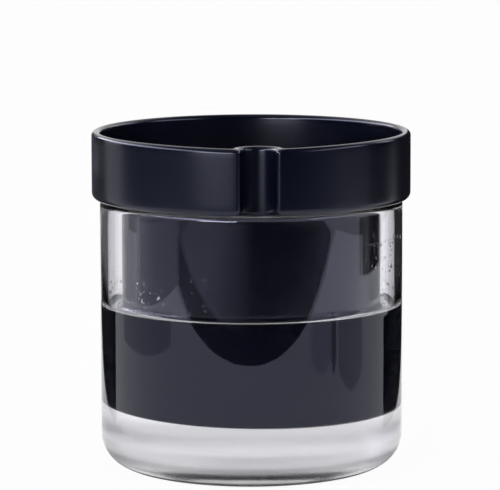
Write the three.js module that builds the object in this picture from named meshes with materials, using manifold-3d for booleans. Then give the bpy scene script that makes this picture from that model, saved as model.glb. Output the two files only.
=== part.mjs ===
// Self-watering planter: a dark glazed terracotta pot that hangs by its collar in a glass vessel of water.
// Millimetres, +Z up. The origin is the centre of the vessel's flat foot, and the filling notch faces -Y.

import * as THREE from "three";
import { mergeVertices } from "three/addons/utils/BufferGeometryUtils.js";
import Module from "manifold-3d";

const wasm = await Module();
wasm.setup();

// Driving dimensions of the glass vessel
const glassHeight = 152.4; // foot to the top of the glass rim
const glassRadius = 85.5; // outside of the wall
const glassWall = 4.2;
const glassFloor = 9; // thickness of the base
const glassFootRound = 19; // outside, between foot and wall
const glassFloorRound = 21.5; // inside, between floor and wall

// Driving dimensions of the terracotta pot
const clayWall = 5; // body, ledge and collar
const clayFloor = 6;
const collarHeight = 38.4; // underside of the ledge to the crest of the rim
const collarOverhang = 4.5; // how far the collar stands out past the glass
const collarSkirtRound = 4; // lower outside edge of the collar
const waterGap = 8; // between the pot's body and the glass, all round
const bodyDraft = 0.5; // how much narrower the body is at its foot
const bodyFootRound = 4; // outside, between foot and body
const bodyFloorRound = 9; // inside, between floor and body
const ledgeNoseRound = 2; // inside edge where the ledge turns down into the body
const notchRadius = 9.7; // half the width of the filling notch
const notchLipRound = 2.2; // outside edges of the notch
const notchRootRound = 4; // inside, where the notch's wall meets the collar
const poolDepth = 24.5; // clear water under the pot's foot

// The water, and the clearances between pieces
const immersion = 58.5; // depth of water beside the pot, over its foot
const seatGap = 0.2; // ledge to glass rim
const waterFilm = 0.3; // water to what it touches

// Facets
const roundSegments = 64; // round a full circle
const cornerSegments = 5; // round a quarter circle
const notchSegments = 7; // half of the notch's round back
const lipSegments = 4;

// Places that follow from the driving dimensions
const vesselRadius = glassRadius - glassWall; // inside of the glass
const bodyRadius = vesselRadius - waterGap; // outside of the pot, under the ledge
const bodyFootRadius = bodyRadius - bodyDraft;
const collarRadius = glassRadius + collarOverhang;
const potFoot = glassFloor + poolDepth;
const ledgeUnderside = glassHeight + seatGap;
const ledgeTop = ledgeUnderside + clayWall;
const rimTop = ledgeUnderside + collarHeight;
const waterLevel = potFoot + immersion;

const quarter = Math.PI / 2;

// Points of an arc in the plane of a profile, both ends included. Angles are counter-clockwise from +X.
function arc(x, y, radius, from, to, steps) {
  return Array.from({ length: steps + 1 }, (_, i) => {
    const angle = from + ((to - from) * i) / steps;
    return new THREE.Vector2(x + radius * Math.cos(angle), y + radius * Math.sin(angle));
  });
}

// A solid of revolution about Z from a profile of (radius, height) points that runs upwards on the outside.
function lathe(profile) {
  const geometry = new THREE.LatheGeometry(profile, roundSegments);
  geometry.rotateX(quarter);
  return geometry;
}

function toSolid(geometry) {
  const bare = new THREE.BufferGeometry();
  bare.setAttribute("position", geometry.getAttribute("position"));
  bare.setIndex(geometry.index);
  const merged = mergeVertices(bare);
  const vertProperties = new Float32Array(merged.attributes.position.array);
  const triVerts = new Uint32Array(merged.index.array);
  return new wasm.Manifold(new wasm.Mesh({ numProp: 3, vertProperties, triVerts }));
}

function toGeometry(solid) {
  const mesh = solid.getMesh();
  const geometry = new THREE.BufferGeometry();
  geometry.setAttribute("position", new THREE.BufferAttribute(mesh.vertProperties, 3));
  geometry.setIndex(new THREE.BufferAttribute(mesh.triVerts, 1));
  geometry.computeVertexNormals();
  return geometry;
}

// Glass vessel: a thick flat base, a generous round foot, a straight wall and a fire-polished rim.
function glassVessel() {
  const rimRound = glassWall / 2;
  const footRadius = glassRadius - glassFootRound;
  const floorRadius = vesselRadius - glassFloorRound;
  return lathe([
    new THREE.Vector2(0, 0),
    ...arc(footRadius, glassFootRound, glassFootRound, -quarter, 0, cornerSegments),
    ...arc(glassRadius - rimRound, glassHeight - rimRound, rimRound, 0, 2 * quarter, 2 * cornerSegments),
    ...arc(floorRadius, glassFloor + glassFloorRound, glassFloorRound, 0, -quarter, cornerSegments),
    new THREE.Vector2(0, glassFloor),
  ]);
}

// Water: fills the vessel under the pot and the ring beside it, up to the level.
function water() {
  const outside = vesselRadius - waterFilm;
  const bottom = glassFloor + waterFilm;
  const floorRound = glassFloorRound - waterFilm;
  const wellFoot = potFoot - waterFilm;
  const wellRadius = bodyRadius + waterFilm;
  const wellFootRadius = bodyFootRadius + waterFilm;
  const wellRound = bodyFootRound + waterFilm;
  return lathe([
    new THREE.Vector2(0, bottom),
    ...arc(outside - floorRound, bottom + floorRound, floorRound, -quarter, 0, cornerSegments),
    new THREE.Vector2(outside, waterLevel),
    new THREE.Vector2(wellRadius, waterLevel),
    ...arc(wellFootRadius - wellRound, wellFoot + wellRound, wellRound, 0, -quarter, cornerSegments),
    new THREE.Vector2(0, wellFoot),
  ]);
}

// Plan outline of the collar, counter-clockwise from the middle of the notch: a circle about the origin with a
// U-shaped notch in it at -Y, whose round back has its centre at -notchCentre. The edge where they meet is rounded.
// Outlines of any size have as many points, so that one can be joined to another point by point.
function collarOutline(radius, notchRound, lip, notchCentre) {
  const lipReach = radius - lip; // of the lip's own centre, from the origin
  let side = 0; // direction from the centre of the round back to where its arc ends
  let lipX = notchRound + lip;
  let lipY = -Math.sqrt(lipReach ** 2 - lipX ** 2);
  if (-lipY < notchCentre) {
    // A wide notch has no flat sides: its round back runs straight into the lip.
    lipY = ((notchRound + lip) ** 2 - lipReach ** 2 - notchCentre ** 2) / (2 * notchCentre);
    lipX = Math.sqrt(lipReach ** 2 - lipY ** 2);
    side = Math.atan2(lipY + notchCentre, lipX);
  }
  const outward = Math.atan2(lipY, lipX);
  const back = arc(0, -notchCentre, notchRound, quarter, side, notchSegments);
  const edge = arc(lipX, lipY, lip, side + 2 * quarter, outward + 4 * quarter, lipSegments);
  const half = [...back, ...edge.slice(1)];
  const round = arc(0, 0, radius, outward, 2 * quarter - outward, roundSegments);
  const mirrored = half.slice(1).reverse();
  return [...half, ...round.slice(1, -1), ...mirrored.map((p) => new THREE.Vector2(-p.x, p.y))];
}

// Closed band that carries a section round between two outlines. Each point of the section has a share, 0 on the
// outer outline and 1 on the inner one, and a height.
function band(outer, inner, section) {
  const count = outer.length;
  const positions = [];
  const index = [];
  section.forEach(({ share, z }, row) => {
    const next = (row + 1) % section.length;
    outer.forEach((point, i) => {
      const placed = point.clone().lerp(inner[i], share);
      positions.push(placed.x, placed.y, z);
      const [a, b] = [row * count + i, row * count + ((i + 1) % count)];
      const [c, d] = [next * count + i, next * count + ((i + 1) % count)];
      index.push(a, b, d, a, d, c);
    });
  });
  const geometry = new THREE.BufferGeometry();
  geometry.setAttribute("position", new THREE.Float32BufferAttribute(positions, 3));
  geometry.setIndex(index);
  return geometry;
}

// Collar: the upright wall of the rim, with a full round crest, folded inwards at the notch.
function collar(notchCentre) {
  const outer = collarOutline(collarRadius, notchRadius, notchLipRound, notchCentre);
  const inner = collarOutline(collarRadius - clayWall, notchRadius + clayWall, notchRootRound, notchCentre);
  const skirt = Math.min(collarSkirtRound, clayWall);
  const crest = clayWall / 2;
  const across = [
    new THREE.Vector2(clayWall, ledgeUnderside),
    ...arc(skirt, ledgeUnderside + skirt, skirt, -quarter, -2 * quarter, cornerSegments),
    ...arc(crest, rimTop - crest, crest, 2 * quarter, 0, 2 * cornerSegments),
  ];
  return band(outer, inner, across.map((p) => ({ share: p.x / clayWall, z: p.y })));
}

// Body: a cup that hangs from a flat ledge, whose outer edge runs into the collar.
function body() {
  const skirt = Math.min(collarSkirtRound, clayWall);
  const ledgeReach = collarRadius - clayWall / 2;
  const ledgeFoot = collarRadius - (clayWall + skirt) / 2;
  const inside = bodyRadius - clayWall;
  const insideFoot = bodyFootRadius - clayWall;
  const floor = potFoot + clayFloor;
  return lathe([
    new THREE.Vector2(0, potFoot),
    ...arc(bodyFootRadius - bodyFootRound, potFoot + bodyFootRound, bodyFootRound, -quarter, 0, cornerSegments),
    new THREE.Vector2(bodyRadius, ledgeUnderside),
    new THREE.Vector2(ledgeFoot, ledgeUnderside),
    new THREE.Vector2(ledgeReach, ledgeUnderside + clayWall / 2),
    new THREE.Vector2(ledgeReach, ledgeTop),
    ...arc(inside + ledgeNoseRound, ledgeTop - ledgeNoseRound, ledgeNoseRound, quarter, 2 * quarter, cornerSegments),
    ...arc(insideFoot - bodyFloorRound, floor + bodyFloorRound, bodyFloorRound, 0, -quarter, cornerSegments),
    new THREE.Vector2(0, floor),
  ]);
}

// Upright prism of the notch, which opens the ledge to the water below.
function notchCut(notchCentre) {
  const past = collarRadius + notchRadius;
  const shape = new THREE.Shape([
    ...arc(0, -notchCentre, notchRadius, 0, 2 * quarter, 2 * notchSegments),
    new THREE.Vector2(-notchRadius, -past),
    new THREE.Vector2(notchRadius, -past),
  ]);
  const geometry = new THREE.ExtrudeGeometry(shape, { depth: 3 * clayWall, bevelEnabled: false });
  geometry.translate(0, 0, ledgeUnderside - clayWall);
  return geometry;
}

function terracottaPot() {
  const notchCentre = bodyRadius + notchRadius; // the back of the notch is flush with the body
  const cup = toSolid(body()).subtract(toSolid(notchCut(notchCentre)));
  return toGeometry(cup.add(toSolid(collar(notchCentre))));
}

const clearGlass = new THREE.MeshStandardMaterial({
  color: 0xeaf2f1,
  roughness: 0.02,
  metalness: 0,
  transparent: true,
  opacity: 0.25,
});
const blackGlaze = new THREE.MeshStandardMaterial({ color: 0x14151b, roughness: 0.35, metalness: 0 });
const clearWater = new THREE.MeshStandardMaterial({
  color: 0xe6f1f4,
  roughness: 0.02,
  metalness: 0,
  transparent: true,
  opacity: 0.2,
});

function piece(name, geometry, material) {
  const mesh = new THREE.Mesh(geometry, material);
  mesh.name = name;
  return mesh;
}

const vessel = new THREE.Group();
vessel.add(piece("glass_vessel", glassVessel(), clearGlass));
vessel.add(piece("water_reserve", water(), clearWater));

const hangingPot = new THREE.Group();
hangingPot.add(piece("terracotta_pot", terracottaPot(), blackGlaze));

const planter = new THREE.Group();
planter.add(vessel, hangingPot);

export default planter;
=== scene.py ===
# Looks of a self-watering planter: a black terracotta pot hung by its collar in a glass vessel of water.
# Metres, +Z up. The origin is the centre of the vessel's foot, and the filling notch faces -Y.

import math
import random

import bmesh
import bpy
from mathutils import Matrix, Vector


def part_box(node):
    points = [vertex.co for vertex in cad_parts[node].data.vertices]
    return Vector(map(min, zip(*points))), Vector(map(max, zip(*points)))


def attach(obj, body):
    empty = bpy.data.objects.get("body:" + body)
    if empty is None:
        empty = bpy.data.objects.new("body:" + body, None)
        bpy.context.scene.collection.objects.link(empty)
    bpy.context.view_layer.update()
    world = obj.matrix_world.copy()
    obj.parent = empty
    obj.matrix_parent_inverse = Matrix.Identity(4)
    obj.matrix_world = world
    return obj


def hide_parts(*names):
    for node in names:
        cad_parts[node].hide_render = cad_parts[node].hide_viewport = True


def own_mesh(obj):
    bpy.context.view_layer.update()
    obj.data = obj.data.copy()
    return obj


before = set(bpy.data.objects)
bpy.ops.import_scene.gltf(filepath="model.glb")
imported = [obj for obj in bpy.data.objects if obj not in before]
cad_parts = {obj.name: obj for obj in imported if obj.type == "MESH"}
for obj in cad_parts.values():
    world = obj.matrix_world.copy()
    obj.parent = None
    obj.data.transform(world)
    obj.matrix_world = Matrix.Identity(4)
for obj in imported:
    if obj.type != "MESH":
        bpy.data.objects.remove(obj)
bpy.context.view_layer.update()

# Sizes that the frame gives
glass_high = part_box("glass_vessel")[1]
water_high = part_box("water_reserve")[1]
pot_low, pot_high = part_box("terracotta_pot")
glass_radius = glass_high.x
glass_height = glass_high.z
water_level = water_high.z
pot_foot = pot_low.z
rim_top = pot_high.z

# Sizes of the glass vessel
glass_wall = 0.0042
glass_floor = 0.009
glass_foot_round = 0.019  # height of the round between foot and wall
glass_foot_reach = 0.020  # width of that round
glass_floor_round = 0.0215
floor_rise = 0.0002  # how far the inside of the base rises in the middle
glass_rim_rise = 0.0034  # height of the fire-polished round of the rim
foot_recess = 0.0003  # how far the middle of the base stands off the table
foot_recess_radius = 0.06

# Sizes of the terracotta pot
clay_wall = 0.005
clay_floor = 0.006
seat_gap = 0.0002
collar_overhang = 0.0045
collar_skirt_round = 0.004
water_gap = 0.008
body_draft = 0.0005
body_foot_round = 0.004
body_floor_round = 0.009
ledge_nose_round = 0.002
ledge_root_round = 0.003
notch_radius = 0.0097
notch_lip_round = 0.0022
notch_root_round = 0.004
notch_step = 0.0008  # how far the back of the notch stands out from the body
notch_softness = 0.15  # share of the rounds that is left at the back of the notch
notch_half_angle = 11.0  # degrees round the body that go with half of the notch's outline
crest_dip = 0.00125  # how far the crest sinks towards the notch
crest_dip_reach = 0.046
foot_slope = 0.0175  # the foot is a little lower at +X, as it was cut by hand
foot_slope_height = 0.04  # height over the foot at which the slope has died out

# Sizes of the water
capillary_length = 0.0027
meniscus_rise = 0.003  # from the middle of the ring of water up to the glass or the clay
water_film = 0.00005  # between the water and the glass
water_overlap = 0.002  # how far the water reaches into the clay's wall, so that no film of air shows
well_rise = 0.003  # the same at the clay's foot

# Drops on the inside of the glass. A patch has its first and last azimuth in degrees from the notch, its
# lowest and highest drop, and a count. A large drop has its azimuth, height, width and tallness.
drop_seed = 7
drop_width = (0.0004, 0.0012)
drop_tallness = (0.8, 1.9)  # in widths
drop_film = 0.00002  # how far a drop reaches into the glass
small_drop_depth = 0.35  # in widths
large_drop_depth = 0.4
drop_patches = [
    (-50, -15, 0.097, 0.118, 46),
    (-76, -50, 0.098, 0.112, 14),
    (50, 80, 0.115, 0.132, 44),
    (58, 84, 0.100, 0.116, 12),
]
large_drops = [
    (-73, 0.1030, 0.0015, 0.0022),
    (-49, 0.1025, 0.0011, 0.0034),
    (-40, 0.1050, 0.0017, 0.0017),
    (-38, 0.1020, 0.0012, 0.0024),
    (-26, 0.1160, 0.0012, 0.0016),
    (-20, 0.1000, 0.0016, 0.0014),
    (66, 0.1175, 0.0014, 0.0024),
    (78, 0.1320, 0.0024, 0.0026),
]

# A former waterline, which is a row of flat drops
tide_mark = 0.1327
tide_mark_ends = (48, 76)
tide_mark_drops = 40
tide_drop_size = (0.6, 1.3)  # in the least drop's widths
tide_drop_length = 2.2  # in its own size, as are the next two
tide_drop_tallness = 0.7
tide_drop_waver = 0.2
tide_drop_aside = 0.3  # in spaces from drop to drop

# Places that follow
vessel_radius = glass_radius - glass_wall
body_radius = vessel_radius - water_gap
body_foot_radius = body_radius - body_draft
collar_radius = glass_radius + collar_overhang
ledge_underside = glass_height + seat_gap
ledge_top = ledge_underside + clay_wall
inside_radius = body_radius - clay_wall
inside_foot_radius = body_foot_radius - clay_wall
pot_floor = pot_foot + clay_floor
notch_centre = body_radius + notch_step + notch_radius

# Fineness of the meshes
round_steps = 192
corner_steps = 14
small_corner_steps = 6
notch_steps = 22
lip_steps = 8
surface_steps = 32  # across the ring of water
recess_steps = 8
glass_floor_steps = 10
glass_wall_steps = 12
glass_inside_steps = 8  # over the waterline, and as many under it
foot_rows = (0.3, 0.6, 0.85, 0.97)  # shares of the flat foot's radius
wet_rows = 7
dry_rows = 8
ledge_rows = 4
collar_rows = 10
collar_inside_rows = 8
inside_rows = 9
floor_rows = (0.7, 0.4)  # shares of the flat floor's radius
drop_fineness = 2
sharp_angle = math.radians(40)


# Meshes
def arc(x, z, radius, start, end, steps, height=None):
    """Points of an arc, both ends included, with angles in degrees from +X.

    A height makes it a part of an ellipse.
    """
    tall = radius if height is None else height
    angles = [math.radians(start + (end - start) * i / steps) for i in range(steps + 1)]
    return [(x + radius * math.cos(a), z + tall * math.sin(a)) for a in angles]


def shares(steps):
    """The ends of equal steps from 0 to 1."""
    return [(i + 1) / steps for i in range(steps)]


def between(start, end, steps):
    """Points of a straight line, without its start."""
    return [tuple(a + (b - a) * share for a, b in zip(start, end)) for share in shares(steps)]


def ring(radius, z):
    """Points of a level circle about the axis, or of a pole where the radius is 0."""
    if radius == 0:
        return [Vector((0, 0, z))]
    turn = 2 * math.pi / round_steps
    angles = [i * turn for i in range(round_steps)]
    return [Vector((radius * math.cos(a), radius * math.sin(a), z)) for a in angles]


def skin(name, rows, materials):
    """A closed mesh through rows of points that run up the outside.

    Each row has the index of the material of the faces that lead up to it.
    """
    points, faces, bands = [], [], []
    start = 0
    for k, (row, band) in enumerate(rows):
        points.extend(row)
        if k:
            below = rows[k - 1][0]
            low, high = start - len(below), start
            count = max(len(below), len(row))
            for i in range(count):
                j = (i + 1) % count
                lower = [low + i % len(below), low + j % len(below)]
                upper = [high + j % len(row), high + i % len(row)]
                faces.append(list(dict.fromkeys(lower + upper)))
                bands.append(band)
        start += len(row)
    mesh = bpy.data.meshes.new(name)
    mesh.from_pydata(points, [], faces)
    for material in materials:
        mesh.materials.append(material)
    mesh.polygons.foreach_set("material_index", bands)
    weld(mesh)
    mesh.shade_smooth()
    mesh.set_sharp_from_angle(angle=sharp_angle)
    return placed(name, mesh)


def weld(mesh):
    """Joins the points that lie in one place."""
    work = bmesh.new()
    work.from_mesh(mesh)
    bmesh.ops.remove_doubles(work, verts=work.verts, dist=1e-6)
    work.to_mesh(mesh)
    work.free()


def placed(name, content):
    """An object in the scene, made of that mesh, lamp or lens."""
    piece = bpy.data.objects.new(name, content)
    bpy.context.scene.collection.objects.link(piece)
    return piece


def lathe(name, profile, materials):
    """A closed piece of revolution from (radius, height, material index) points that run up the outside."""
    return skin(name, [(ring(radius, z), band) for radius, z, band in profile], materials)


# Materials
def new_material(name):
    """A material, its node tree and its shader."""
    material = bpy.data.materials.new(name)
    material.use_nodes = True
    tree = material.node_tree
    return material, tree, tree.nodes["Principled BSDF"]


def set_inputs(node, **values):
    """Sets a node's sockets by their names, with _ for a space."""
    for name, value in values.items():
        node.inputs[name.replace("_", " ")].default_value = value


def math_node(tree, operation, first, second, clamp=False):
    """The result of one step of arithmetic on sockets or numbers."""
    node = tree.nodes.new("ShaderNodeMath")
    node.operation = operation
    node.use_clamp = clamp
    for socket, value in zip(node.inputs, (first, second)):
        if isinstance(value, (int, float)):
            socket.default_value = value
        else:
            tree.links.new(value, socket)
    return node.outputs[0]


def own_place(tree):
    """The place in the object's own axes."""
    return tree.nodes.new("ShaderNodeTexCoord").outputs["Object"]


def own_axes(tree):
    """X, Y and Z of the place in the object's own axes."""
    axes = tree.nodes.new("ShaderNodeSeparateXYZ")
    tree.links.new(own_place(tree), axes.inputs["Vector"])
    return axes.outputs["X"], axes.outputs["Y"], axes.outputs["Z"]


def length_of(tree, vector):
    """The length of a vector."""
    node = tree.nodes.new("ShaderNodeVectorMath")
    node.operation = "LENGTH"
    tree.links.new(vector, node.inputs[0])
    return node.outputs["Value"]


def noise(tree, waves, detail, stretch=(1, 1, 1)):
    """Noise over the object's own place, as a number from 0 to 1, with so many waves to the metre."""
    shaped = tree.nodes.new("ShaderNodeMapping")
    shaped.inputs["Scale"].default_value = stretch
    texture = tree.nodes.new("ShaderNodeTexNoise")
    set_inputs(texture, Scale=waves, Detail=detail)
    tree.links.new(own_place(tree), shaped.inputs["Vector"])
    tree.links.new(shaped.outputs["Vector"], texture.inputs["Vector"])
    return texture.outputs["Fac"]


def ramp(tree, value, low, high, first, second):
    """A colour that goes from first to second as the value goes from low to high."""
    node = tree.nodes.new("ShaderNodeValToRGB")
    node.color_ramp.elements[0].position = low
    node.color_ramp.elements[1].position = high
    node.color_ramp.elements[0].color = (*first, 1)
    node.color_ramp.elements[1].color = (*second, 1)
    tree.links.new(value, node.inputs["Fac"])
    return node.outputs["Color"]


def mixed(tree, share, first, second):
    """A colour between two colour sockets."""
    node = tree.nodes.new("ShaderNodeMix")
    node.data_type = "RGBA"
    tree.links.new(share, node.inputs["Factor"])
    tree.links.new(first, node.inputs["A"])
    tree.links.new(second, node.inputs["B"])
    return node.outputs["Result"]


def spread(tree, value, low, high, start=0.0, end=1.0):
    """A number that goes from low to high as the value goes from start to end."""
    node = tree.nodes.new("ShaderNodeMapRange")
    set_inputs(node, From_Min=start, From_Max=end, To_Min=low, To_Max=high)
    tree.links.new(value, node.inputs["Value"])
    return node.outputs["Result"]


def bump(tree, shader, height, depth):
    """Gives the shader a relief of that depth, in metres."""
    node = tree.nodes.new("ShaderNodeBump")
    set_inputs(node, Strength=1.0, Distance=depth)
    tree.links.new(height, node.inputs["Height"])
    tree.links.new(node.outputs["Normal"], shader.inputs["Normal"])


def outer_glass_material():
    """The dry face of the glass, slowly uneven as blown glass is, with painted bands of shade and light in
    its thick foot, which stand in for the lines that the foot's curve bends into view.
    """
    material, tree, shader = new_material("clear_glass")
    set_inputs(shader, Roughness=0.0, IOR=glass_ior, Transmission_Weight=1.0)
    set_inputs(shader, Specular_Tint=(*cool_gleam, 1))
    height = own_axes(tree)[2]
    top = painted_foot_bands[-1][0]
    # Painted shade and light: the glass's tint steps by height through the foot's bands.
    tint = ramp(tree, spread(tree, height, 0.0, 1.0, 0.0, top), 0.0, 1.0, glass_tint, glass_tint)
    stops = tint.node.color_ramp.elements
    for band_height, clearness in painted_foot_bands[:-1]:
        stops.new(band_height / top).color = (*[c * clearness for c in glass_tint], 1)
    stops[0].color = stops[1].color
    tree.links.new(tint, shader.inputs["Base Color"])
    waves = noise(tree, glass_waves, detail=1.0, stretch=glass_wave_stretch)
    bump(tree, shader, waves, glass_wave_depth)
    return material


def wet_glass_material():
    """The wet face of the glass, which has a haze of lime at its base."""
    material, tree, shader = new_material("wet_glass")
    set_inputs(shader, Base_Color=(*wet_tint, 1), IOR=glass_ior / water_ior, Transmission_Weight=1.0)
    set_inputs(shader, Specular_Tint=(*cool_gleam, 1))
    height = own_axes(tree)[2]
    wall_haze = spread(tree, height, lime_haze, 0.0, *lime_heights)
    floor_share = spread(tree, height, floor_haze, 1.0, glass_floor, glass_floor + floor_haze_height)
    tree.links.new(math_node(tree, "MULTIPLY", wall_haze, floor_share), shader.inputs["Roughness"])
    return material


def water_material():
    """The free surface of the water, and the drops."""
    material, _, shader = new_material("clear_water")
    set_inputs(shader, Base_Color=(*water_tint, 1), Roughness=0.0, IOR=water_ior, Transmission_Weight=1.0)
    set_inputs(shader, Specular_Tint=(*cool_gleam, 1))
    return material


def contact_material():
    """The side of the water against the glass. It isn't seen, as the glass's wet face bends the light."""
    material, _, shader = new_material("water_contact")
    set_inputs(shader, Base_Color=(*contact_tint, 1), Roughness=0.0, Alpha=0.0)
    return material


def bare_clay(tree, x, y, z):
    """1 on the inside of the body and its floor, where the clay has no glaze, and 0 elsewhere."""
    flat = tree.nodes.new("ShaderNodeCombineXYZ")
    tree.links.new(x, flat.inputs["X"])
    tree.links.new(y, flat.inputs["Y"])
    radius = length_of(tree, flat.outputs["Vector"])
    waver = spread(tree, noise(tree, edge_waves, detail=2.0), -glaze_waver, glaze_waver)
    low = math_node(tree, "LESS_THAN", math_node(tree, "ADD", z, waver), ledge_top - glaze_inside)
    high = math_node(tree, "GREATER_THAN", z, pot_foot + clay_floor / 2)
    within = math_node(tree, "LESS_THAN", radius, body_radius - clay_wall / 2)
    return math_node(tree, "MULTIPLY", within, math_node(tree, "MULTIPLY", low, high))


def pot_material(name, ior, glaze_grain):
    """Satin black glaze over terracotta, which is bare inside the body."""
    material, tree, shader = new_material(name)
    x, y, z = own_axes(tree)
    bare = bare_clay(tree, x, y, z)
    cloud = noise(tree, cloud_waves, detail=3.0)
    grain = noise(tree, grain_waves, detail=2.0)
    speck = noise(tree, speck_waves, detail=4.0)

    glaze = ramp(tree, cloud, *glaze_clouding, glaze_dark, glaze_light)
    body_clay = ramp(tree, cloud, *clay_clouding, clay_dark, clay_light)
    specked_clay = ramp(tree, speck, *clay_specking, clay_light, clay_pale)
    clay = mixed(tree, spread(tree, speck, 0.0, speck_share), body_clay, specked_clay)
    tree.links.new(mixed(tree, bare, glaze, clay), shader.inputs["Base Color"])

    # The glaze runs off the crest in the kiln and is smoother there.
    polish = spread(tree, z, 0.0, crest_polish, rim_top - clay_wall, rim_top)
    glaze_rough = math_node(tree, "SUBTRACT", spread(tree, cloud, *glaze_roughness), polish)
    bare_rough = math_node(tree, "MULTIPLY", bare, clay_roughness)
    tree.links.new(math_node(tree, "ADD", glaze_rough, bare_rough, clamp=True), shader.inputs["Roughness"])
    set_inputs(shader, IOR=ior, Specular_Tint=(*cool_gleam, 1))

    rough_grain = math_node(tree, "ADD", math_node(tree, "MULTIPLY", bare, clay_grain), glaze_grain)
    fine = math_node(tree, "MULTIPLY", grain, rough_grain)
    bump(tree, shader, math_node(tree, "ADD", fine, cloud), glaze_relief)
    return material


# Finish of the pot, with waves to the metre
glaze_dark = (0.0020, 0.0029, 0.0082)
glaze_light = (0.0028, 0.0038, 0.0105)
glaze_clouding = (0.35, 0.7)  # of the noise, from dark to light
glaze_roughness = (0.20, 0.28)
crest_polish = 0.08  # how much smoother the crest is
glaze_relief = 0.0001
dry_glaze_grain = 0.02
wet_glaze_grain = 0.0
glaze_waver = 0.0007  # of the line where the glaze ends
glaze_inside = 0.004  # depth under the ledge of that line
clay_dark = (0.27, 0.094, 0.047)
clay_light = (0.42, 0.155, 0.078)
clay_pale = (0.50, 0.22, 0.13)
clay_clouding = (0.3, 0.7)
clay_specking = (0.3, 0.75)
speck_share = 0.6
clay_roughness = 0.5  # how much rougher than the glaze
clay_grain = 1.5
edge_waves = 90
cloud_waves = 26
speck_waves = 420
grain_waves = 900

# Finish of the glass and the water
cool_gleam = (0.75, 0.78, 1.0)  # tint of reflections
glass_tint = (0.88, 0.88, 0.91)
wet_tint = (0.985, 0.985, 1.0)
water_tint = (0.985, 0.995, 1.0)
contact_tint = (0.95, 0.98, 1.0)
glass_waves = 22
glass_wave_stretch = (1, 1, 0.2)
glass_wave_depth = 0.00025
lime_haze = 0.5  # roughness
lime_heights = (0.030, 0.042)  # between which the haze dies out
floor_haze = 0.3  # share of the haze that lies on the flat of the floor
floor_haze_height = glass_floor_round / 4  # over which it thickens at the floor's edge
glaze_ior = 1.5
glass_ior = 1.5
water_ior = 1.333
wet_glaze_ior = 1.18  # of glaze under water, which gleams far less than in air

# Painted shade and light in the thick foot: the height of each band, and its clearness as a share of the
# tint, under 1 for painted shade and over 1 for painted light
painted_foot_bands = [
    (0.0003, 0.2), (0.0006, 0.03), (0.0030, 0.03),
    (0.0038, 1.13), (0.0052, 1.13),
    (0.0064, 0.65), (0.0090, 0.65), (0.0104, 0.5), (0.0122, 0.55),
    (0.0136, 0.97), (0.016, 1.13), (0.021, 1.1),
    (0.026, 0.95), (0.034, 0.95), (0.045, 1.0),
]

clear_glass = outer_glass_material()
wet_glass = wet_glass_material()
clear_water = water_material()
water_contact = contact_material()
black_glaze = pot_material("black_glaze", glaze_ior, dry_glaze_grain)
wet_glaze = pot_material("wet_glaze", wet_glaze_ior, wet_glaze_grain)


# Glass vessel
def meniscus(radius):
    """Height of the water's surface, which climbs the glass and the clay."""
    middle = (vessel_radius + body_radius) / 2
    half_gap = (vessel_radius - body_radius) / 2
    off = min(abs(radius - middle), half_gap)
    share = (math.cosh(off / capillary_length) - 1) / (math.cosh(half_gap / capillary_length) - 1)
    return water_level + meniscus_rise * share


def dome(radius, height, rise, steps):
    """Points from the axis out to a radius, over which a height sinks smoothly by its rise."""
    return [(radius * i / steps, height + rise * (1 - (i / steps) ** 2)) for i in range(steps)]


def glass_vessel():
    dry, wet = 0, 1
    rim_round = glass_wall / 2
    rim_base = glass_height - glass_rim_rise
    foot_radius = glass_radius - glass_foot_reach
    fine_steps = 3 * corner_steps
    waterline = meniscus(vessel_radius)
    outside = [
        *dome(foot_recess_radius, 0, foot_recess, recess_steps),
        (foot_recess_radius, 0),
        *arc(foot_radius, glass_foot_round, glass_foot_reach, -90, 0, fine_steps, glass_foot_round),
        *between((glass_radius, glass_foot_round), (glass_radius, rim_base), glass_wall_steps),
        *arc(glass_radius - rim_round, rim_base, rim_round, 0, 180, fine_steps, glass_rim_rise)[1:],
        *between((vessel_radius, rim_base), (vessel_radius, waterline), glass_inside_steps),
    ]
    floor_top = glass_floor + glass_floor_round
    floor_radius = vessel_radius - glass_floor_round
    inside = [
        *between((vessel_radius, waterline), (vessel_radius, floor_top), glass_inside_steps),
        *arc(floor_radius, floor_top, glass_floor_round, 0, -90, fine_steps)[1:],
        *reversed(dome(floor_radius, glass_floor, floor_rise, glass_floor_steps)),
    ]
    profile = [(r, z, dry) for r, z in outside] + [(r, z, wet) for r, z in inside]
    return lathe("glass_vessel_clear", profile, [clear_glass, wet_glass])


# Water
def water():
    contact, surface = 0, 1
    outside = vessel_radius - water_film
    bottom = glass_floor + water_film
    floor_round = glass_floor_round - water_film
    floor_radius = outside - floor_round
    well_radius = body_radius - water_overlap
    well_foot = pot_foot + well_rise
    below = [
        *dome(floor_radius, bottom, floor_rise, glass_floor_steps),
        *arc(floor_radius, bottom + floor_round, floor_round, -90, 0, 3 * corner_steps),
        (outside, meniscus(outside)),
    ]
    across = [outside - (outside - body_radius) * i / surface_steps for i in range(1, surface_steps + 1)]
    above = [
        *[(radius, meniscus(radius)) for radius in across],
        (well_radius, meniscus(body_radius)),
        (well_radius, well_foot),
        (0, well_foot),
    ]
    profile = [(r, z, contact) for r, z in below] + [(r, z, surface) for r, z in above]
    return lathe("water_reserve_clear", profile, [water_contact, clear_water])


# Drops on the inside of the glass, left from filling
def drop(work, azimuth, height, width, tall, depth):
    """One drop of those sizes. Azimuth 0 is at the notch, and it grows towards +X."""
    made = bmesh.ops.create_icosphere(work, subdivisions=drop_fineness, radius=1.0)
    a = math.radians(azimuth)
    outward = Vector((math.sin(a), -math.cos(a), 0))
    along = Vector((math.cos(a), math.sin(a), 0))
    centre = outward * vessel_radius + Vector((0, 0, height))
    for vert in made["verts"]:
        aside = vert.co.x * width / 2
        out = vert.co.y * (depth if vert.co.y < 0 else drop_film)
        up = vert.co.z * tall / 2
        vert.co = centre + along * aside + outward * out + Vector((0, 0, up))


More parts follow.
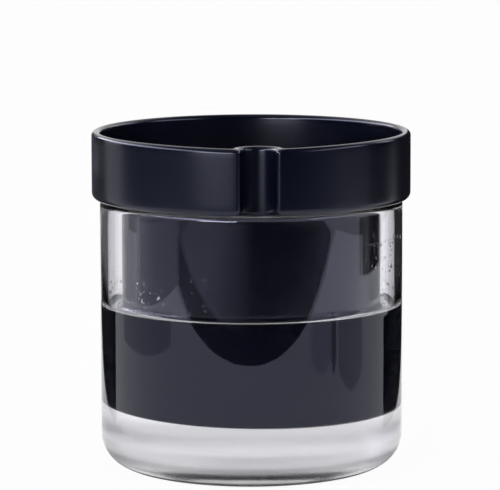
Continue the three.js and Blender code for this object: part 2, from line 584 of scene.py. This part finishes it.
def water_drops():
    dice = random.Random(drop_seed)
    work = bmesh.new()
    for first, last, bottom, top, count in drop_patches:
        for _ in range(count):
            width = dice.uniform(*drop_width)
            tall = width * dice.uniform(*drop_tallness)
            azimuth = dice.uniform(first, last)
            height = dice.uniform(bottom, top)
            drop(work, azimuth, height, width, tall, width * small_drop_depth)
    for azimuth, height, width, tall in large_drops:
        drop(work, azimuth, height, width, tall, width * large_drop_depth)
    start, end = tide_mark_ends
    for i in range(tide_mark_drops):
        place = i + dice.uniform(-tide_drop_aside, tide_drop_aside)
        azimuth = start + (end - start) * place / tide_mark_drops
        size = dice.uniform(*tide_drop_size) * drop_width[0]
        height = tide_mark + dice.uniform(-tide_drop_waver, tide_drop_waver) * size
        width, tall = tide_drop_length * size, tide_drop_tallness * size
        drop(work, azimuth, height, width, tall, size * large_drop_depth)
    mesh = bpy.data.meshes.new("water_drops")
    work.to_mesh(mesh)
    work.free()
    mesh.materials.append(clear_water)
    mesh.shade_smooth()
    return placed("water_drops", mesh)


# Terracotta pot
def outline(radius, notch_round, lip):
    """Points of the collar's outline, from the middle of the notch.

    They run along the notch's round back, its side and its lip, then the circle and the notch's other half.
    Outlines of any size have as many points.
    """
    lip_reach = radius - lip
    side = 0.0
    lip_x = notch_round + lip
    lip_y = -math.sqrt(lip_reach**2 - lip_x**2)
    if -lip_y < notch_centre:
        lip_y = ((notch_round + lip) ** 2 - lip_reach**2 - notch_centre**2) / (2 * notch_centre)
        lip_x = math.sqrt(lip_reach**2 - lip_y**2)
        side = math.degrees(math.atan2(lip_y + notch_centre, lip_x))
    outward = math.degrees(math.atan2(lip_y, lip_x))
    back = arc(0, -notch_centre, notch_round, 90, side, notch_steps)
    edge = arc(lip_x, lip_y, lip, side + 180, outward + 360, lip_steps)
    half = back + edge[1:]
    far = arc(0, 0, radius, outward, 180 - outward, round_steps)
    return half + far[1:-1] + [(-x, y) for x, y in reversed(half[1:])]


def circle(radius):
    """A circle whose points go with those of the outlines. The radius is a number, or one for each point."""
    half = notch_steps + lip_steps
    far_turn = 360 - 2 * notch_half_angle
    first = [-90 + notch_half_angle * i / half for i in range(half + 1)]
    far = [-90 + notch_half_angle + far_turn * i / round_steps for i in range(1, round_steps)]
    angles = first + far + [180 - a for a in reversed(first[1:])]
    radii = radius if isinstance(radius, list) else [radius] * len(angles)
    return [(r * math.cos(math.radians(a)), r * math.sin(math.radians(a))) for r, a in zip(radii, angles)]


def notch_weights():
    """For each point of an outline, the share of its rounds that is left.

    That is little at the back of the notch, and all of them elsewhere.
    """
    ways = [min(1.0, i / notch_steps) for i in range(notch_steps + lip_steps + 1)]
    half = [notch_softness + (1 - notch_softness) * s * s * (3 - 2 * s) for s in ways]
    return half + [1.0] * (round_steps - 1) + list(reversed(half[1:]))


def quarter_turn(steps):
    """Sines and cosines over a quarter turn, both ends included."""
    angles = [math.pi / 2 * i / steps for i in range(steps + 1)]
    return [(math.sin(a), math.cos(a)) for a in angles]


def part_way(first, second, share):
    """Points between those of two outlines."""
    return [(a + (c - a) * share, b + (d - b) * share) for (a, b), (c, d) in zip(first, second)]


def handmade(x, y, z):
    """The place of a point on the real pot, whose crest dips at the notch and whose foot slopes."""
    high = min(1.0, max(0.0, (z - ledge_top) / (rim_top - ledge_top)))
    dip = crest_dip * high * math.exp(-((x / crest_dip_reach) ** 2)) if y < 0 else 0.0
    low = max(0.0, 1 - (z - pot_foot) / foot_slope_height)
    return Vector((x, y, z - dip - foot_slope * x * low))


def terracotta_pot():
    outer = outline(collar_radius, notch_radius, notch_lip_round)
    inner = outline(collar_radius - clay_wall, notch_radius + clay_wall, notch_root_round)
    weights = notch_weights()
    dry, wet = 0, 1
    rows = []

    def lay(points, heights, band=dry):
        """Adds a row. The heights are one number, or one for each point."""
        levels = heights if isinstance(heights, list) else [heights] * len(points)
        rows.append(([handmade(x, y, z) for (x, y), z in zip(points, levels)], band))

    def pole(z):
        rows.append(([Vector((0, 0, z))], dry))

    def inwards(depths):
        """The outer outline moved towards the inner one, by a depth for each point."""
        moves = [depth / clay_wall for depth in depths]
        return [(a + (c - a) * s, b + (d - b) * s) for (a, b), (c, d), s in zip(outer, inner, moves)]

    # Outside of the body, from the foot up to the waterline and on to the ledge
    pole(pot_foot)
    flat_foot = body_foot_radius - body_foot_round
    wall_foot = pot_foot + body_foot_round
    waterline = meniscus(body_radius)
    for share in foot_rows:
        lay(circle(flat_foot * share), pot_foot, wet)
    for radius, z in arc(flat_foot, wall_foot, body_foot_round, -90, 0, corner_steps):
        lay(circle(radius), z, wet)
    wetted = (waterline - wall_foot) / (ledge_underside - wall_foot)
    for share in shares(wet_rows):
        radius = body_foot_radius + body_draft * wetted * share
        lay(circle(radius), wall_foot + (waterline - wall_foot) * share, wet)
    root = [ledge_nose_round * w for w in weights]
    for share in shares(dry_rows):
        radius = body_foot_radius + body_draft * (wetted + (1 - wetted) * share)
        lay(circle(radius), [waterline + (ledge_underside - r - waterline) * share for r in root])
    for sine, cosine in quarter_turn(small_corner_steps)[1:]:
        radii = [body_radius + r * (1 - cosine) for r in root]
        lay(circle(radii), [ledge_underside - r * (1 - sine) for r in root])

    # Underside of the ledge, and the skirt's round
    skirt = [collar_skirt_round * w for w in weights]
    ledge_start = circle([body_radius + r for r in root])
    for share in shares(ledge_rows)[:-1]:
        lay(part_way(ledge_start, inwards(skirt), share), ledge_underside)
    for sine, cosine in quarter_turn(corner_steps):
        depths = [r * (1 - sine) for r in skirt]
        lay(inwards(depths), [ledge_underside + r * (1 - cosine) for r in skirt])

    # Outside of the collar, its crest and its inside
    crest = clay_wall / 2
    for share in shares(collar_rows):
        lay(outer, [ledge_underside + r + (rim_top - crest - ledge_underside - r) * share for r in skirt])
    for x, z in arc(crest, rim_top - crest, crest, 180, 0, 2 * corner_steps)[1:]:
        lay(inwards([x] * len(outer)), z)
    hollow = [ledge_root_round * w for w in weights]
    for share in shares(collar_inside_rows):
        lay(inner, [rim_top - crest + (ledge_top + r - rim_top + crest) * share for r in hollow])
    for sine, cosine in quarter_turn(small_corner_steps)[1:]:
        depths = [clay_wall + r * (1 - cosine) for r in hollow]
        lay(inwards(depths), [ledge_top + r * (1 - sine) for r in hollow])

    # Top of the ledge, and the inside of the body down to its floor
    nose = [ledge_nose_round * w for w in weights]
    ledge_end = circle([inside_radius + r for r in nose])
    for share in shares(ledge_rows):
        lay(part_way(inwards([clay_wall + r for r in hollow]), ledge_end, share), ledge_top)
    for sine, cosine in quarter_turn(small_corner_steps)[1:]:
        radii = [inside_radius + r * (1 - sine) for r in nose]
        lay(circle(radii), [ledge_top - r * (1 - cosine) for r in nose])
    floor_top = pot_floor + body_floor_round
    for share in shares(inside_rows):
        radius = inside_radius + (inside_foot_radius - inside_radius) * share
        lay(circle(radius), [ledge_top - r + (floor_top - ledge_top + r) * share for r in nose])
    flat_floor = inside_foot_radius - body_floor_round
    for radius, z in arc(flat_floor, floor_top, body_floor_round, 0, -90, corner_steps)[1:]:
        lay(circle(radius), z)
    for share in floor_rows:
        lay(circle(flat_floor * share), pot_floor)
    pole(pot_floor)
    return skin("terracotta_pot_glazed", rows, [black_glaze, wet_glaze])


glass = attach(glass_vessel(), "vessel")
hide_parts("glass_vessel")

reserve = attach(water(), "vessel")
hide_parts("water_reserve")
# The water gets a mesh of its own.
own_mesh(reserve)

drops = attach(water_drops(), "vessel")

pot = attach(terracotta_pot(), "pot")
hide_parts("terracotta_pot")


# Stage
def stage_material(name, build):
    """A material of the set, whose shader is made by build from the material's node tree."""
    material = bpy.data.materials.new(name)
    material.use_nodes = True
    tree = material.node_tree
    tree.nodes.clear()
    output = tree.nodes.new("ShaderNodeOutputMaterial")
    tree.links.new(build(tree), output.inputs["Surface"])
    return material


def mix_shaders(tree, share, first, second):
    node = tree.nodes.new("ShaderNodeMixShader")
    tree.links.new(share, node.inputs[0])
    tree.links.new(first, node.inputs[1])
    tree.links.new(second, node.inputs[2])
    return node.outputs[0]


def shown(tree):
    """1 for rays that show the set, straight, mirrored or through glass, and 0 for rays of its light."""
    path = tree.nodes.new("ShaderNodeLightPath")
    mirrored = math_node(tree, "MAXIMUM", path.outputs["Is Camera Ray"], path.outputs["Is Glossy Ray"])
    return math_node(tree, "MAXIMUM", mirrored, path.outputs["Is Transmission Ray"])


def floor_shader(tree):
    """A white sweep, which shows as white with a part of the object's shadow.

    Close round the object a painted shadow darkens it where the outside of the glass or the pot mirrors it.
    """
    paper = tree.nodes.new("ShaderNodeBsdfDiffuse")
    paper.inputs["Color"].default_value = (*paper_colour, 1)
    glow = tree.nodes.new("ShaderNodeEmission")
    # Painted shadow that only reflections show: the floor is darker close round the object.
    mirrored = spread(tree, length_of(tree, own_place(tree)), painted_shadow_level, 1.0, *painted_shadow_reach)
    path = tree.nodes.new("ShaderNodeLightPath")
    straight, through = path.outputs["Is Camera Ray"], path.outputs["Transmission Depth"]
    other = math_node(tree, "ADD", straight, through, clamp=True)
    tree.links.new(math_node(tree, "MAXIMUM", other, mirrored), glow.inputs["Strength"])
    share = math_node(tree, "MULTIPLY", shown(tree), floor_white)
    return mix_shaders(tree, share, paper.outputs[0], glow.outputs[0])


def card_shader(tree, level, fade, depth):
    """A card that shows only in reflections, so that it hides nothing from any side. It may fade along X."""
    glow = tree.nodes.new("ShaderNodeEmission")
    glow.inputs["Color"].default_value = (level, level, level * card_blue, 1)
    if fade:
        tree.links.new(spread(tree, own_axes(tree)[0], 1.0, 0.0, *fade), glow.inputs["Strength"])
    clear = tree.nodes.new("ShaderNodeBsdfTransparent")
    path = tree.nodes.new("ShaderNodeLightPath")
    reflected = math_node(tree, "GREATER_THAN", path.outputs["Glossy Depth"], 0.5)
    shallow = math_node(tree, "LESS_THAN", path.outputs["Transmission Depth"], depth + 0.5)
    share = math_node(tree, "MULTIPLY", reflected, shallow)
    return mix_shaders(tree, share, clear.outputs[0], glow.outputs[0])


def sheet(name, corners, material):
    """A flat piece of the set."""
    mesh = bpy.data.meshes.new(name)
    mesh.from_pydata(corners, [], [list(range(len(corners)))])
    mesh.materials.append(material)
    piece = placed(name, mesh)
    return piece


def card(name, corners, level, depth, fade=None):
    """A card. The depth is the number of faces of glass through which it still shows."""
    material = stage_material(name, lambda tree: card_shader(tree, level, fade, depth))
    material.cycles.emission_sampling = "NONE"
    piece = sheet(name, corners, material)
    piece.visible_camera = False
    piece.visible_diffuse = False
    piece.visible_shadow = False


def level_corners(left, right, front, back, z):
    """Corners of a level rectangle."""
    return [(left, front, z), (right, front, z), (right, back, z), (left, back, z)]


def side_card(name, x, front, back, bottom, top, level, depth):
    """An upright card that faces the object from a side."""
    card(name, [(x, front, bottom), (x, back, bottom), (x, back, top), (x, front, top)], level, depth)


def floor_patch(name, first, last, near, far, level):
    """A level card that the glass mirrors between two azimuths of its wall. Its near end is round."""

    def place(share, distance):
        wall = math.radians(first + (last - first) * share)
        x = glass_radius * math.sin(wall) + distance * math.sin(2 * wall)
        y = -glass_radius * math.cos(wall) - distance * math.cos(2 * wall)
        return (x, y, 3 * card_lift)

    ways = [i / patch_steps for i in range(patch_steps + 1)]
    bulge = (far - near) * patch_round
    corners = [place(s, near + bulge * (2 * s - 1) ** 2) for s in ways]
    corners += [place(s, far) for s in reversed(ways)]
    card(name, corners, level, through_pot)


# The sweep is white, and the studio in front of it is dark.
paper_colour = (0.88, 0.88, 0.89)
floor_white = 0.96  # share of plain white in the floor that is seen
floor_reach = 4.0
# Painted shadow on the floor, seen only in reflections off the glass and the pot: its level close round the
# object, and the radii between which it dies out
painted_shadow_level = 0.10  # of the floor close round the object
painted_shadow_reach = (0.080, 0.105)  # radii between which that dies out
sweep_front = -0.49  # front edge of the white sweep
sweep_turn = 0.07  # slope of that edge, as the sweep lies a little askew
sweep_left = sweep_front + floor_reach * sweep_turn
sweep_right = sweep_front - floor_reach * sweep_turn
dark_front = -1.9
dark_level = 0.004
ceiling = 2.6
ceiling_back = 1.2

# Cards of the studio
through_pot = 4  # faces of glass on the way to the pot and out again
through_wall = 2  # faces of glass on the way through one wall
card_lift = 0.001  # from card to card over the floor
card_blue = 1.1  # blue of a card, as a share of its level
patch_steps = 12
patch_round = 0.25  # of the patch's length
flag_top = 0.068
screen_turn = 0.25  # how far back a screen still shows in the pot

# Upright cards: name, X, front, back, bottom, top, level and depth
side_cards = [
    ("left_wall", -1.1, dark_front, 0.3, 0.0, ceiling, 0.1, through_pot),
    ("left_back_wall", -0.75, 0.55, 4.0, 0.0, 0.5, 0.06, through_wall),
    ("right_wall", 1.1, dark_front, 0.9, 0.0, ceiling, 0.12, through_pot),
    ("left_window", -1.05, -1.6, 2.0, 0.55, 1.1, 6.0, through_pot),
    ("right_window", 1.05, -1.2, 1.5, 0.55, 1.0, 3.0, through_pot),
    ("left_flag", -0.2, 0.067, screen_turn, 0.0, flag_top, dark_level, through_pot),
    ("left_far_flag", -0.2, screen_turn, 0.8, 0.0, flag_top, dark_level, through_wall),
    ("left_screen", -0.21, 0.07, screen_turn, 0.0, 0.135, 0.1, through_pot),
    ("left_far_screen", -0.21, screen_turn, 0.9, 0.0, 0.3, 0.1, through_wall),
    ("right_flag", 0.2, 0.020, screen_turn, 0.0, flag_top, dark_level, through_pot),
    ("right_far_flag", 0.2, screen_turn, 0.8, 0.0, flag_top, dark_level, through_wall),
    ("right_screen", 0.21, 0.05, screen_turn, 0.0, 0.3, 0.02, through_pot),
    ("right_far_screen", 0.21, screen_turn, 0.9, 0.0, 0.3, 0.02, through_wall),
    ("left_board", -0.7, -0.45, 0.05, 0.0, 0.07, 0.4, through_pot),
    ("right_board", 0.85, -0.05, 0.32, 0.0, 0.8, dark_level, through_pot),
]

# Patches on the floor: name, first and last azimuth of the wall that mirrors them, near, far and level
floor_patches = [
    ("left_patch", -58, -33, 0.41, 0.60, 0.55),
    ("left_far_patch", -80, -55, 1.2, 2.2, 0.45),
    ("right_patch", 33, 45, 0.278, 0.60, 0.58),
    ("right_soft_patch", 21.5, 30, 0.345, 0.60, 0.68),
    ("right_line", 30, 32, 0.34, 0.60, 0.25),
]

sheet("floor", level_corners(-floor_reach, floor_reach, -floor_reach, floor_reach, 0),
      stage_material("white_sweep", floor_shader))
card("dark_floor", [(-floor_reach, dark_front, card_lift), (floor_reach, dark_front, card_lift),
                    (floor_reach, sweep_right, card_lift), (-floor_reach, sweep_left, card_lift)],
     dark_level, through_pot)
card("soft_floor", level_corners(left=-1.1, right=0, front=-1.4, back=-0.6, z=2 * card_lift),
     level=0.3, depth=through_pot, fade=(-0.5, -0.02))
card("dark_room", [(-floor_reach, dark_front, 0), (floor_reach, dark_front, 0),
                   (floor_reach, dark_front, ceiling), (-floor_reach, dark_front, ceiling)],
     dark_level, through_pot)
card("left_ceiling", level_corners(-floor_reach, floor_reach, dark_front, ceiling_back, ceiling),
     level=0.6, depth=through_pot, fade=(-1.5, 0.8))
for row in side_cards:
    side_card(*row)
for row in floor_patches:
    floor_patch(*row)


# Light
def softbox(name, azimuth, elevation, distance, width, height, power, colour):
    """A soft rectangular lamp that points at the middle of the planter. Azimuth 0 is at the notch."""
    a, e = math.radians(azimuth), math.radians(elevation)
    towards = Vector((math.sin(a) * math.cos(e), -math.cos(a) * math.cos(e), math.sin(e)))
    lamp = bpy.data.lights.new(name, "AREA")
    lamp.shape = "RECTANGLE"
    lamp.size = width
    lamp.size_y = height
    lamp.energy = power
    lamp.color = colour
    holder = placed(name, lamp)
    holder.location = Vector((0, 0, rim_top / 2)) + towards * distance
    holder.rotation_mode = "QUATERNION"
    holder.rotation_quaternion = towards.to_track_quat("Z", "Y")
    holder.visible_camera = False


softbox("key_softbox", azimuth=-27, elevation=11, distance=1.3, width=0.62, height=0.25, power=6.8,
        colour=(1.0, 0.99, 0.98))

fill_colour = (0.97, 0.98, 1.0)
fill_level = 0.65


def studio_world():
    """A white studio: full white where it shows, and a little less where it lights the object."""
    world = bpy.data.worlds.new("studio")
    world.use_nodes = True
    tree = world.node_tree
    soft = tree.nodes["Background"]
    set_inputs(soft, Color=(*fill_colour, 1), Strength=fill_level)
    white = tree.nodes.new("ShaderNodeBackground")
    set_inputs(white, Color=(1, 1, 1, 1))
    both = mix_shaders(tree, shown(tree), soft.outputs[0], white.outputs[0])
    tree.links.new(both, tree.nodes["World Output"].inputs["Surface"])
    world.cycles.sampling_method = "NONE"
    bpy.context.scene.world = world


studio_world()

# Camera at the photograph's viewing angle
camera_distance = 2.007  # from the axis, level
camera_height = 0.4036
camera_azimuth = math.radians(-2.6)
camera_pitch = math.radians(7.89)
camera_roll = math.radians(-0.135)
camera_aside = -0.0007
focal_pixels = 3578
frame_pixels = 500
sensor_width = 36


def place_camera():
    lens = bpy.data.cameras.new("camera")
    lens.sensor_width = sensor_width
    lens.lens = focal_pixels / frame_pixels * sensor_width
    lens.clip_start = 0.1
    lens.clip_end = 50
    camera = placed("camera", lens)
    heading = Matrix.Rotation(camera_azimuth, 4, "Z")
    tilt = Matrix.Rotation(math.pi / 2 - camera_pitch, 4, "X")
    roll = Matrix.Rotation(camera_roll, 4, "Z")
    stand = Matrix.Translation((camera_aside, -camera_distance, camera_height))
    camera.matrix_world = heading @ stand @ tilt @ roll
    bpy.context.scene.camera = camera


place_camera()

scene = bpy.context.scene
scene.view_settings.view_transform = "Standard"
scene.cycles.max_bounces = 24
scene.cycles.transmission_bounces = 20
scene.cycles.glossy_bounces = 12
scene.cycles.transparent_max_bounces = 24
scene.cycles.use_denoising = True
scene.cycles.denoising_input_passes = "RGB_ALBEDO"
